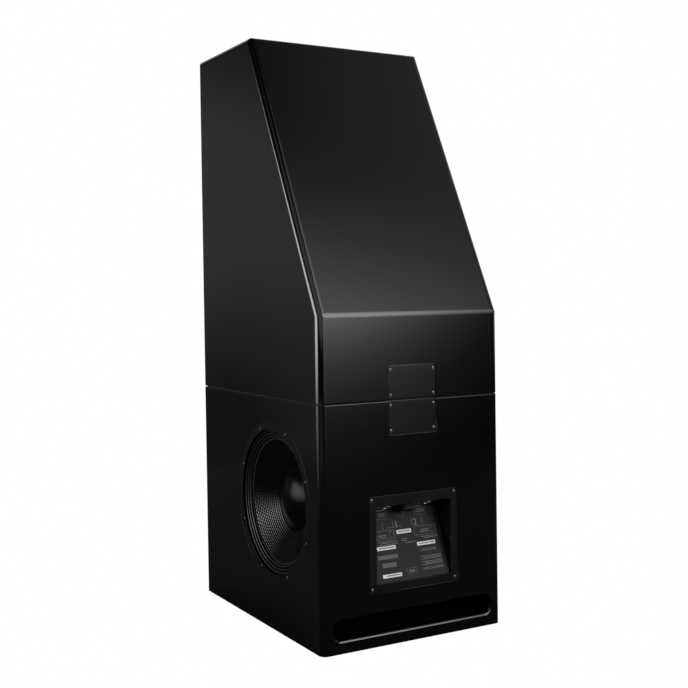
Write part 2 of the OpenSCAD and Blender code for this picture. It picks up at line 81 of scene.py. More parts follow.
class Shader:
    """A material with one Principled shader and short calls for the nodes that feed it."""

    def __init__(self, name, **values):
        self.material = bpy.data.materials.new(name)
        self.material.use_nodes = True
        self.tree = self.material.node_tree
        self.shader = self.tree.nodes["Principled BSDF"]
        for socket, value in values.items():
            self.shader.inputs[socket.replace("_", " ")].default_value = value

    def node(self, kind, **settings):
        made = self.tree.nodes.new(kind)
        for name, value in settings.items():
            setattr(made, name, value)
        return made

    def link(self, a, b):
        self.tree.links.new(a, b)

    def place(self, scale=1.0, source="Object"):
        coords = self.node("ShaderNodeTexCoord")
        mapping = self.node("ShaderNodeMapping")
        mapping.inputs["Scale"].default_value = scale if hasattr(scale, "__len__") else (scale,) * 3
        self.link(coords.outputs[source], mapping.inputs["Vector"])
        return mapping.outputs["Vector"]

    def noise(self, scale, detail=2.0, rough=0.5, where=None):
        made = self.node("ShaderNodeTexNoise")
        made.inputs["Scale"].default_value = scale
        made.inputs["Detail"].default_value = detail
        made.inputs["Roughness"].default_value = rough
        self.link(where or self.place(), made.inputs["Vector"])
        return made.outputs["Fac"]

    def cells(self, scale):
        made = self.node("ShaderNodeTexVoronoi", feature="SMOOTH_F1")
        made.inputs["Scale"].default_value = scale
        self.link(self.place(), made.inputs["Vector"])
        return made.outputs["Distance"]

    def ramp(self, fac, low, high, at=(0.0, 1.0)):
        made = self.node("ShaderNodeValToRGB")
        for stop, place, colour in zip(made.color_ramp.elements, at, (low, high)):
            stop.position = place
            stop.color = colour if hasattr(colour, "__len__") else (colour, colour, colour, 1)
        self.link(fac, made.inputs["Fac"])
        return made.outputs["Color"]

    def range(self, fac, low, high):
        made = self.node("ShaderNodeMapRange")
        made.inputs["To Min"].default_value = low
        made.inputs["To Max"].default_value = high
        self.link(fac, made.inputs["Value"])
        return made.outputs["Result"]

    def calc(self, operation, a, b=0.0):
        made = self.node("ShaderNodeMath", operation=operation)
        for socket, value in zip(made.inputs, (a, b)):
            if isinstance(value, float):
                socket.default_value = value
            else:
                self.link(value, socket)
        return made.outputs["Value"]

    def colour(self, output):
        self.link(output, self.shader.inputs["Base Color"])

    def rough(self, output):
        self.link(output, self.shader.inputs["Roughness"])

    def bump(self, height, depth, strength=1.0, under=None):
        made = self.node("ShaderNodeBump")
        made.inputs["Distance"].default_value = depth
        made.inputs["Strength"].default_value = strength
        self.link(height, made.inputs["Height"])
        if under:
            self.link(under, made.inputs["Normal"])
        self.link(made.outputs["Normal"], self.shader.inputs["Normal"])
        return made.outputs["Normal"]


def grey(value, blue=1.06):
    return (value, value, value * blue, 1)


def painted(name, base, rough, grain=620.0, depth=0.000012, shine=0.5, blue=1.0):
    """Sprayed paint: a fine orange peel, and slow changes in gloss and in tone."""
    s = Shader(name, IOR=1.5, Specular_IOR_Level=shine)
    s.colour(s.ramp(s.noise(9.0, 5.0, 0.6), grey(base * 0.8, blue), grey(base * 1.25, blue), (0.3, 0.7)))
    s.rough(s.range(s.noise(24.0, 4.0, 0.55), rough - 0.015, rough + 0.015))
    peel = s.bump(s.cells(grain), depth, 0.55)
    s.bump(s.noise(grain * 2.1, 2.0), depth * 0.5, 0.4, peel)
    return s.material


def cast_metal(name, base, rough):
    s = Shader(name, IOR=1.5, Specular_IOR_Level=0.35)
    s.colour(s.ramp(s.noise(60.0, 4.0), grey(base * 0.85), grey(base * 1.2), (0.35, 0.65)))
    s.rough(s.range(s.noise(90.0, 3.0), rough - 0.06, rough + 0.06))
    s.bump(s.noise(900.0, 3.0, 0.6), 0.00012, 0.5)
    return s.material


def bare_metal(name, tint, rough):
    s = Shader(name, Metallic=1.0)
    dark = (tint[0] * 0.72, tint[1] * 0.70, tint[2] * 0.68, 1)
    s.colour(s.ramp(s.noise(140.0, 5.0, 0.6), dark, (*tint, 1), (0.3, 0.62)))
    s.rough(s.range(s.noise(420.0, 3.0), rough - 0.08, rough + 0.10))
    s.bump(s.noise(1500.0, 2.0), 0.00003, 0.5)
    return s.material


def cloth(name, base, weave=900.0):
    """Coated cloth: crossed threads, one set along each axis, under a thin coat with sheen."""
    s = Shader(name, Roughness=0.62, Sheen_Weight=0.25, Sheen_Roughness=0.4)
    where = s.place()
    threads = []
    for turn in ("X", "Y", "Z"):
        wave = s.node("ShaderNodeTexWave", wave_type="BANDS", bands_direction=turn)
        wave.inputs["Scale"].default_value = weave / 6
        wave.inputs["Distortion"].default_value = 0.6
        s.link(where, wave.inputs["Vector"])
        threads.append(wave.outputs["Fac"])
    mixed = threads[0]
    for other in threads[1:]:
        mixed = s.calc("MAXIMUM", mixed, other)
    s.colour(s.ramp(s.noise(70.0, 4.0), grey(base * 0.75), grey(base * 1.3), (0.3, 0.7)))
    s.bump(mixed, 0.00008, 0.5)
    return s.material


def pulp(name, base, rough, dashes=88.0):
    """Pressed cone: each rib is a row of short glossy dashes, laid like bricks. UV is turn and radius.

    The squeeze sets how wide the grooves between dashes are beside those between ribs.
    """
    squeeze, groove, gloss = 0.72, 0.0015, 0.40
    pitch = (RIBS_END - RIBS_START) / RIBS * MM
    s = Shader(name, IOR=1.5)
    coords = s.node("ShaderNodeTexCoord")
    mapping = s.node("ShaderNodeMapping")
    mapping.inputs["Scale"].default_value = (squeeze, 1.0, 1.0)
    mapping.inputs["Location"].default_value = (0.0, -RIBS_START * MM, 0.0)
    s.link(coords.outputs["UV"], mapping.inputs["Vector"])
    brick = s.node("ShaderNodeTexBrick", offset=0.5)
    brick.inputs["Scale"].default_value = 1.0
    brick.inputs["Mortar Size"].default_value = groove
    brick.inputs["Mortar Smooth"].default_value = 0.5
    brick.inputs["Brick Width"].default_value = squeeze / dashes
    brick.inputs["Row Height"].default_value = pitch
    s.link(mapping.outputs["Vector"], brick.inputs["Vector"])
    s.colour(s.ramp(s.noise(160.0, 4.0, 0.6), grey(base * 0.6), grey(base * 1.5), (0.3, 0.72)))
    s.rough(s.range(s.noise(60.0, 3.0), rough - 0.02, rough + 0.02))
    s.link(s.range(brick.outputs["Fac"], gloss, 0.0), s.shader.inputs["Specular IOR Level"])
    return s.material


def moulded(name, base, rough, grain=1400.0, shine=0.5):
    s = Shader(name, IOR=1.48, Specular_IOR_Level=shine)
    s.colour(s.ramp(s.noise(30.0, 4.0), grey(base * 0.85), grey(base * 1.2), (0.3, 0.7)))
    s.rough(s.range(s.noise(50.0, 3.0), rough - 0.05, rough + 0.05))
    s.bump(s.cells(grain), 0.00006, 0.4)
    return s.material


def rolled(name, base, rough):
    """Coated cloth over the rolls, with painted shade in the creases between them: the gloss falls away
    there. UV is turn and radius.
    """
    gloss, sharpness = 0.34, 2.5
    pitch = (ROLLS_OUTER - ROLLS_INNER) / ROLLS * MM
    s = Shader(name, IOR=1.5)
    split = s.node("ShaderNodeSeparateXYZ")
    s.link(s.place(1.0, "UV"), split.inputs[0])
    turns = s.calc("DIVIDE", s.calc("SUBTRACT", split.outputs["Y"], ROLLS_INNER * MM), pitch)
    crest = s.calc("ABSOLUTE", s.calc("SINE", s.calc("MULTIPLY", turns, math.pi)))
    # Painted shade: the gloss is full on the crests and falls to nothing in the creases between the rolls,
    # where shade lies.
    lit = s.range(s.calc("POWER", crest, sharpness), 0.0, gloss)
    s.link(lit, s.shader.inputs["Specular IOR Level"])
    s.colour(s.ramp(s.noise(45.0, 4.0), grey(base * 0.8), grey(base * 1.3), (0.3, 0.7)))
    s.rough(s.range(s.noise(50.0, 3.0), rough - 0.04, rough + 0.04))
    s.bump(s.cells(2400.0), 0.00005, 0.35)
    return s.material


def plywood(name):
    s = Shader(name, Roughness=0.6)
    grain = s.noise(3.0, 6.0, 0.62, s.place((40.0, 5.0, 40.0)))
    s.colour(s.ramp(grain, (0.30, 0.19, 0.10, 1), (0.60, 0.43, 0.25, 1), (0.32, 0.68)))
    s.bump(grain, 0.0002, 0.4)
    return s.material


def printed(name, tone):
    s = Shader(name, Roughness=0.55)
    s.colour(s.ramp(s.noise(900.0, 3.0), grey(tone * 0.8, 0.98), grey(tone, 0.98), (0.35, 0.6)))
    s.bump(s.noise(2500.0, 2.0), 0.00002, 0.4)
    return s.material


MATERIAL = {
    "cabinet_paint": painted("cabinet_paint", 0.0004, 0.085, 420.0, 0.00012),
    "cover_metal": painted("cover_metal", 0.0045, 0.14, 900.0),
    "terminal_metal": painted("terminal_metal", 0.0040, 0.16, 1100.0),
    "label_metal": painted("label_metal", 0.0068, 0.70, 1500.0, 0.00001, 0.3, 0.80),
    "basket_metal": cast_metal("basket_metal", 0.0010, 0.20),
    "motor_steel": bare_metal("motor_steel", (0.20, 0.20, 0.21), 0.45),
    "screw_steel": bare_metal("screw_steel", (0.19, 0.194, 0.20), 0.32),
    "black_screw": bare_metal("black_screw", (0.09, 0.09, 0.095), 0.24),
    "socket_brass": bare_metal("socket_brass", (0.42, 0.27, 0.18), 0.34),
    "coil_copper": bare_metal("coil_copper", (0.72, 0.35, 0.18), 0.28),
    "dome_metal": bare_metal("dome_metal", (0.26, 0.26, 0.28), 0.34),
    "surround_cloth": rolled("surround_cloth", 0.0030, 0.33),
    "spider_cloth": cloth("spider_cloth", 0.20, 700.0),
    "cone_fibre": pulp("cone_fibre", 0.0010, 0.19),
    "cap_fibre": moulded("cap_fibre", 0.0012, 0.20, 1800.0, 0.06),
    "mid_rubber": moulded("mid_rubber", 0.0075, 0.42, 2200.0),
    "gasket_rubber": moulded("gasket_rubber", 0.0012, 0.85),
    "port_plastic": moulded("port_plastic", 0.0004, 0.85, shine=0.05),
    "socket_plastic": moulded("socket_plastic", 0.0012, 0.75),
    "waveguide_plastic": moulded("waveguide_plastic", 0.0060, 0.42, 1200.0),
    "plywood": plywood("plywood"),
    "print_white": printed("print_white", 0.62),
    "print_grey": printed("print_grey", 0.13),
    "print_dim": printed("print_dim", 0.045),
}
SLOT_OF = {row["node"]: row["material_slot"] for row in frame["record"]["subparts"]}


# ---------------------------------------------------------------- mesh tools

def new_object(name, mesh):
    made = bpy.data.objects.new(name, mesh)
    bpy.context.scene.collection.objects.link(made)
    return made


def finish_mesh(bm, name, angle=38.0):
    """A mesh from bm, smooth shaded, with edges sharper than the angle kept crisp."""
    mesh = bpy.data.meshes.new(name)
    bmesh.ops.recalc_face_normals(bm, faces=bm.faces)
    for face in bm.faces:
        face.smooth = True
    for edge in bm.edges:
        edge.smooth = len(edge.link_faces) != 2 or edge.calc_face_angle(0.0) < math.radians(angle)
    bm.to_mesh(mesh)
    bm.free()
    if "custom_normal" in mesh.attributes:
        mesh.attributes.remove(mesh.attributes["custom_normal"])
    return mesh


def settle(piece, body, slot, replaces=(), weighted=False):
    """Gives a piece its slot's material if it has none, weighted normals if asked and its body, and hides
    the CAD nodes that it stands for.
    """
    if not piece.data.materials:
        piece.data.materials.append(MATERIAL[slot])
    if weighted:
        piece.modifiers.new("normals", "WEIGHTED_NORMAL").keep_sharp = True
    if body:
        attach(piece, body)
    if replaces:
        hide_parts(*replaces)


def refined(node, bevel, wanted):
    """A CAD node's own shape with its wanted sharp edges broken by a small round."""
    bm = bmesh.new()
    bm.from_mesh(NODES[node].data)
    bmesh.ops.remove_doubles(bm, verts=bm.verts, dist=2e-6)
    bmesh.ops.dissolve_limit(bm, angle_limit=math.radians(0.4), verts=bm.verts, edges=bm.edges)
    sharp = [e for e in bm.edges if len(e.link_faces) == 2 and e.calc_face_angle(0.0) > math.radians(50)
             and wanted(*(v.co for v in e.verts))]
    if sharp:
        bmesh.ops.bevel(bm, geom=sharp, offset=bevel, offset_type="OFFSET", segments=2, profile=0.5,
                        affect="EDGES", clamp_overlap=True)
    bmesh.ops.triangulate(bm, faces=[f for f in bm.faces if len(f.verts) > 4])
    piece = new_object(node + "_shell", finish_mesh(bm, node + "_shell"))
    body = next(b for b, members in frame["record"]["behaviour"]["bodies"].items() if node in members)
    settle(piece, body, SLOT_OF[node], [node], weighted=True)


def arc(cx, cy, r, start, end, steps):
    turn = [math.radians(start + (end - start) * i / steps) for i in range(steps + 1)]
    return [(cx + r * math.cos(a), cy + r * math.sin(a)) for a in turn]


def lathe(bm, profile, matrix, steps=160, first=0.0, sweep=360.0, closed=True):
    """Turns a profile of (radius, height) in mm about the matrix's z axis. UV is the turn and the radius."""
    uv = bm.loops.layers.uv.verify()
    full = abs(sweep - 360.0) < 1e-6
    rows = []
    for i in range(steps if full else steps + 1):
        a = math.radians(first + sweep * i / steps)
        rows.append([bm.verts.new(matrix @ Vector((r * MM * math.cos(a), r * MM * math.sin(a), z * MM)))
                     for r, z in profile])
    count = len(profile)
    for i in range(steps):
        near, far = rows[i], rows[(i + 1) % len(rows)]
        for j in range(count if closed else count - 1):
            k = (j + 1) % count
            corners = [(near[j], i, j), (near[k], i, k), (far[k], i + 1, k), (far[j], i + 1, j)]
            kept = []
            for corner in corners:
                if all((corner[0].co - other[0].co).length > 1e-7 for other in kept):
                    kept.append(corner)
            if len(kept) < 3:
                continue
            face = bm.faces.new([c[0] for c in kept])
            for loop, corner in zip(face.loops, kept):
                loop[uv].uv = ((first + sweep * corner[1] / steps) / 360.0, profile[corner[2]][0] * MM)


def box_into(bm, lo, hi, matrix=Matrix.Identity(4)):
    made = bmesh.ops.create_cube(bm, size=1.0)["verts"]
    centre, size = [(a + b) / 2 for a, b in zip(lo, hi)], [b - a for a, b in zip(lo, hi)]
    for v in made:
        v.co = matrix @ Vector([c + s * x for c, s, x in zip(centre, size, v.co)])


def frame_at(origin, axis, up=Vector((0, 0, 1))):
    """Local z along axis, local y along up."""
    z = axis.normalized()
    x = up.cross(z).normalized()
    y = z.cross(x)
    return Matrix.Translation(origin) @ Matrix((x, y, z)).transposed().to_4x4()


# ---------------------------------------------------------------- cabinets

def cabinet_pieces():
    """Boards keep flat joints where they meet. Only the openings and the free edges are broken."""
    lo, hi = cad_bounds
    flat, curved, gap, margin, near = 0.1 * MM, 0.4 * MM, 0.5 * MM, 2 * MM, 1.5 * MM
    for side in ("left", "right"):
        middle = frame_of(side).translation
        rim = flange_radius(side) + gap

        def at_rebate(a, b, middle=middle, rim=rim):
            return all(abs(math.hypot(p.y - middle.y, p.z - middle.z) - rim) < curved
                       and abs(p.x - middle.x) < flat for p in (a, b))
        refined(f"lower_{side}_panel", 0.4 * MM, at_rebate)
        refined(f"upper_{side}_panel", 0.5 * MM, lambda a, b: False)
    middle = frame_of("front").translation
    rim = flange_radius("front") + gap
    guide_lo, guide_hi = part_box("waveguide")

    def at_front(a, b):
        on_face = all(abs(p.y - lo.y) < flat for p in (a, b))
        round_cut = all(abs(math.hypot(p.x, p.z - middle.z) - rim) < curved for p in (a, b))
        square_cut = all(guide_lo.x - margin < p.x < guide_hi.x + margin
                         and guide_lo.z - margin < p.z < guide_hi.z + margin for p in (a, b))
        return on_face and (round_cut or square_cut)
    refined("upper_front_baffle", 0.7 * MM, at_front)
    cover_lo, cover_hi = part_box("lower_joint_plate")
    tray_lo, tray_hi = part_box("terminal_tray")

    def inside(p, low, high):
        return low.x - near < p.x < high.x + near and low.z - near < p.z < high.z + near

    def at_rear(a, b):
        on_face = all(abs(p.y - hi.y) < flat for p in (a, b))
        return on_face and any(all(inside(p, *box) for p in (a, b))
                               for box in ((cover_lo, cover_hi), (tray_lo, tray_hi)))
    refined("lower_rear_panel", 0.35 * MM, at_rear)
    for node in ("lower_front_panel", "lower_top_panel", "lower_base_panel", "upper_top_panel",
                 "upper_slope_panel", "upper_rear_panel", "upper_base_panel"):
        refined(node, 0.3 * MM, lambda a, b: False)
    for node in ("upper_joint_plate", "lower_joint_plate"):
        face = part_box(node)[1].y
        refined(node, 0.4 * MM, lambda a, b, face=face: all(p.y > face - flat for p in (a, b)))
    refined("waveguide", 0.8 * MM, lambda a, b: all(p.y < lo.y + flat for p in (a, b)))


# ---------------------------------------------------------------- drivers

def frame_of(side):
    """The driver's own frame: origin at the middle of its flange face, z outward."""
    lo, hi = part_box(side + "_flange")
    centre, out = (lo + hi) / 2, OUTWARD[side]
    corner = hi if max(out) > 0.5 else lo
    face = centre + out * (corner - centre).dot(out)
    return frame_at(face, out)


def flange_radius(side):
    lo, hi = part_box(side + "_flange")
    return (hi.z - lo.z) / 2


def blended_ring(name, profile, matrix, slot, segments, replaces, steps):
    """A soft ring from the fixed rim to a moving cone, made as separate segments around the turn.
    """
    half = 180.0 / segments
    for i in range(segments):
        bm = bmesh.new()
        lathe(bm, profile, matrix, steps, i * 2 * half - half, 2 * half)
        piece = new_object(f"{name}_{i + 1}", finish_mesh(bm, f"{name}_{i + 1}", 60.0))
        piece.data.materials.append(MATERIAL[slot])
        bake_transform(piece)
    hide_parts(*replaces)


def cone_height(r):
    """Height of the cone's front at a radius in mm: a slightly curved flare from the neck to the edge."""
    t = (r - 50.0) / 105.0
    return -76.0 + 59.0 * (1.12 * t - 0.12 * t * t)


def ribbed_cone(side, matrix):
    body = side + "_woofer_diaphragm"
    relief = 0.5
    front = []
    steps = 8 * RIBS
    for r in (50.2, 60.0, 70.0, 75.0, 77.0):
        front.append((r, cone_height(r)))
    for i in range(steps + 1):
        t = i / steps
        r = RIBS_START + (RIBS_END - RIBS_START) * t
        wave = 0.5 - 0.5 * math.cos(2 * math.pi * RIBS * t)
        front.append((r, cone_height(r) + relief * wave))
    edge, thick = (154.9, -17.4), 1.7
    front += [(151.0, cone_height(151.0)), (153.6, cone_height(153.6) + 0.3), edge]
    back = [(edge[0], edge[1] - thick)]
    back += [(r, cone_height(r) - thick) for r in (122.0, 88.0, 50.2)]
    bm = bmesh.new()
    lathe(bm, front + back, matrix, 200)
    piece = new_object(side + "_ribbed_cone", finish_mesh(bm, side + "_ribbed_cone", 50.0))
    settle(piece, body, "cone_fibre", [side + "_cone"])


def dust_dome(side, matrix):
    body = side + "_woofer_diaphragm"
    rim, rise, seat = 75.0, 23.5, cone_height(75.0)
    radius = (rim * rim + rise * rise) / (2 * rise)
    top = seat + rise - radius
    outside = [(0.0, top + radius)]
    for i in range(1, 29):
        r = 71.5 * i / 28
        outside.append((r, top + math.sqrt(radius * radius - r * r)))
    foot = outside[-1][1]
    outside += [(73.4, foot - 1.3), (74.6, foot - 2.6), (75.4, seat + 0.9), (77.2, cone_height(77.2) + 0.5),
                (78.0, cone_height(78.0) + 0.05)]
    inside = [(76.0, cone_height(76.0) - 0.2), (73.6, seat + 0.2), (70.0, foot - 1.5), (40.0, foot + 8.0),
              (0.0, top + radius - 1.4)]
    bm = bmesh.new()
    lathe(bm, outside + inside, matrix, 128, closed=False)
    bmesh.ops.remove_doubles(bm, verts=bm.verts, dist=1e-7)
    piece = new_object(side + "_dome", finish_mesh(bm, side + "_dome", 50.0))
    settle(piece, body, "cap_fibre", [side + "_dust_cap"])


def three_rolls():
    """The surround's section: three round rolls stepping down from the ledge to the cone's edge."""
    high, low, swell, thick = -7.8, -16.9, 2.6, 0.9
    steps = 48

    def point(i, over):
        t = i / steps
        lift = over * abs(math.sin(ROLLS * math.pi * t)) ** 0.8
        return ROLLS_OUTER + (ROLLS_INNER - ROLLS_OUTER) * i / steps, high + (low - high) * t + lift
    line = [point(i, swell) for i in range(steps + 1)]
    under = [(r, z - thick) for r, z in (point(i, swell - 0.2) for i in range(steps, -1, -3))]
    return line + under


def spider_section():
    """The spider's section: four corrugations from the coil out to a flat foot on the basket."""
    inner, outer, foot, level, swell, thick = 50.3, 91.5, 98.9, -88.5, 1.45, 0.8
    steps = 64
    line = []
    for i in range(steps + 1):
        t = i / steps
        line.append((inner + (outer - inner) * t, level + swell * math.sin(8 * math.pi * t)))
    under = [(r, z - thick) for r, z in reversed(line[::2])]
    return line + [(outer + 0.3, -88.25), (foot, -88.25), (foot, -90.9), (outer, -90.9)] + under


def edge_bead(side, matrix):
    """The glue line on the cone, inside the surround's lip: matt and black."""
    outline = ((149.8, 0.1), (150.4, 0.75), (152.2, 0.85), (153.1, 0.5), (153.1, -0.3), (149.8, -0.3))
    section = [(r, cone_height(r) + lift) for r, lift in outline]
    bm = bmesh.new()
    lathe(bm, section, matrix, 160)
    piece = new_object(side + "_edge_bead", finish_mesh(bm, side + "_edge_bead", 50.0))
    piece.data.materials.append(MATERIAL["gasket_rubber"])
    settle(piece, side + "_woofer_diaphragm", "cone_fibre")


def screw_head(bm, matrix, r, dome, sides=6, socket=0.52, deep=1.9, under=2.4):
    """A button head with a socket. The matrix's z is outward, with the top of the head at 0."""
    ring = 24
    rims = [(r, -under)]
    for turn in (90, 65, 45, 25, 0):
        a = math.radians(turn)
        rims.append((r * (socket + 0.05 + (0.95 - socket) * math.sin(a)), -dome * (1 - math.cos(a))))
    rows = [[bm.verts.new(matrix @ Vector((q * MM * math.cos(2 * math.pi * i / ring),
                                           q * MM * math.sin(2 * math.pi * i / ring), z * MM)))
             for i in range(ring)] for q, z in rims]
    for low, high in zip(rows, rows[1:]):
        for i in range(ring):
            j = (i + 1) % ring
            bm.faces.new((low[i], low[j], high[j], high[i]))
    per = ring // sides
    hexes = []
    for z, grow in ((0.0, 1.0), (-0.25, 0.93), (-deep, 0.9)):
        row = []
        for i in range(ring):
            k, f = divmod(i, per)
            a0, a1 = 2 * math.pi * k / sides, 2 * math.pi * (k + 1) / sides
            p = Vector((math.cos(a0), math.sin(a0))).lerp(Vector((math.cos(a1), math.sin(a1))), f / per)
            reach = r * socket * grow * MM
            row.append(bm.verts.new(matrix @ Vector((p.x * reach, p.y * reach, z * MM))))
        hexes.append(row)
    for low, high in zip([rows[-1]] + hexes, hexes):
        for i in range(ring):
            j = (i + 1) % ring
            bm.faces.new((low[i], low[j], high[j], high[i]))
    bm.faces.new(hexes[-1])


def screw_set(name, places, r, dome, slot, replaces):
    bm = bmesh.new()
    for matrix in places:
        screw_head(bm, matrix, r, dome)
    piece = new_object(name, finish_mesh(bm, name, 30.0))
    settle(piece, ROOT, slot, replaces)


def woofers():
    circle, count, sunk = 185.0, 8, 0.25
    on_face, ledge = -0.05 * MM, 170 * MM
    bolts = []
    for side in SIDES:
        matrix = frame_of(side)
        turned = matrix.inverted()

        def at_rim(a, b, turned=turned):
            ends = [turned @ p for p in (a, b)]
            return all(p.z > on_face and math.hypot(p.x, p.y) > ledge for p in ends)
        refined(side + "_flange", 0.4 * MM, at_rim)
        ribbed_cone(side, matrix)
        dust_dome(side, matrix)
        edge_bead(side, matrix)
        blended_ring(side + "_rolls", three_rolls(), matrix, "surround_cloth", 16,
                     [side + "_surround"], 12)
        blended_ring(side + "_corrugations", spider_section(), matrix, "spider_cloth", 16,
                     [side + "_spider"], 6)
        for i in range(count):
            turn = Matrix.Rotation(math.radians((i + 0.5) * 360 / count), 4, "Z")
            bolts.append(matrix @ turn @ Matrix.Translation((circle * MM, 0, -sunk * MM)))
    screw_set("woofer_screw_heads", bolts, 4.9, 1.3, "black_screw", ["woofer_screws"])


def half_roll(inner, outer, z, thick=0.8):
    mid, r = (inner + outer) / 2, (outer - inner) / 2
    return arc(mid, z, r, 180, 0, 12) + arc(mid, z, r - thick, 0, 180, 12)


def small_cone(bm, matrix, edge, top, neck, low, cap, cap_rise):
    """A cone with a curved flare, a rolled edge and a domed cap, as one closed section."""
    steps = 14
    front = [(edge, top - 0.6), (edge - 0.4, top)]
    for i in range(1, steps):
        t = i / steps
        r = edge + (cap - edge) * t
        sag = (top - low) * ((edge - r) / (edge - neck)) ** 0.86
        front.append((r, top - sag))
    seat = front[-1][1] - 0.4
    dome = [(cap * math.cos(math.radians(a)), seat + cap_rise * math.sin(math.radians(a)))
            for a in (4, 15, 30, 45, 60, 75)]
    tip = [(0.0, seat + cap_rise)]
    under = [(0.0, seat + cap_rise - 0.7), (cap * 0.7, seat + cap_rise * 0.55)]
    wall, halfway = 1.2, 0.62
    back = [(neck, low - wall), (edge * halfway, top - (top - low) * halfway - wall), (edge, top - wall)]
    lathe(bm, front + dome + tip + under + back, matrix, 96)
    bmesh.ops.remove_doubles(bm, verts=bm.verts, dist=1e-7)


def mid_drivers():
    for i in range(4):
        lo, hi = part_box(f"mid_{i + 1}_cone")
        origin = Vector(((lo.x + hi.x) / 2, lo.y, (lo.z + hi.z) / 2))
        matrix = frame_at(origin, OUTWARD["front"])
        body = f"mid_{i + 1}_diaphragm"
        bm = bmesh.new()
        small_cone(bm, matrix, edge=49.9, top=-0.05, neck=13.0, low=-21.0, cap=17.0, cap_rise=4.5)
        piece = new_object(f"mid_{i + 1}_pulp", finish_mesh(bm, f"mid_{i + 1}_pulp", 40.0))
        settle(piece, body, "cone_fibre", [f"mid_{i + 1}_cone"])
        roll = half_roll(50.25, 54.9, -0.2)
        blended_ring(f"mid_{i + 1}_roll", roll, matrix, "mid_rubber", 10,
                     ["mid_surrounds"], 8)


def coaxial():
    lo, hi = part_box("coax_cone")
    matrix = frame_at(Vector(((lo.x + hi.x) / 2, lo.y, (lo.z + hi.z) / 2)), OUTWARD["front"])
    blended_ring("coax_roll", half_roll(51.25, 57.4, -0.2), matrix, "mid_rubber", 10,
                 ["coax_surround"], 8)


# ---------------------------------------------------------------- recess, covers and port

def mount_row(name):
    return next(row for row in frame["record"]["mounts"] if row["name"] == name)


def plate_frame():
    """The label plate's own frame: origin low on its face, local x toward -X, y up the slope, z outward."""
    lo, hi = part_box("terminal_label_plate")
    down = Vector(mount_row("link_socket_mouth")["axis"])
    normal = Vector((0, -down.z, down.y))
    back_corner_drop, art_start = 0.53 * MM, 1.9 * MM
    foot = Vector((0, hi.y, lo.z + back_corner_drop))
    return frame_at(foot, normal) @ Matrix.Translation((0, art_start, 0))


def print_boxes(name, rows, lift, slot, material):
    """Printing as raised films on the label plate: rows of x0, x1, low, high in mm, seen from behind."""
    matrix = plate_frame()
    bm = bmesh.new()
    for x0, x1, low, high in rows:
        box_into(bm, (-x1 * MM, low * MM, 0.0), (-x0 * MM, high * MM, lift * MM), matrix)
    piece = new_object(name, finish_mesh(bm, name, 30.0))
    piece.data.materials.append(MATERIAL[material])
    settle(piece, ROOT, slot)


def lines_of_marks(x0, x1, top, rows, pitch, height, seed):
    """Rows of short dashes of uneven length, as small print reads from a distance."""
    made = []
    state = seed
    for row in range(rows):
        x = x0
        end = x1 - ((seed * 7 + row * 5) % 11) * (x1 - x0) / 40
        y = top - row * pitch
        while x < end - 1.0:
            state = (state * 37 + 11) % 101
            long = min(1.6 + state % 5 * 0.8, end - x)
            made.append((x, x + long, y - height, y))
            x += long + 0.7
    return made


def hollow_box(x0, x1, low, high, line=0.5):
    return [(x0, x1, low, low + line), (x0, x1, high - line, high), (x0, x0 + line, low, high),
            (x1 - line, x1, low, high)]


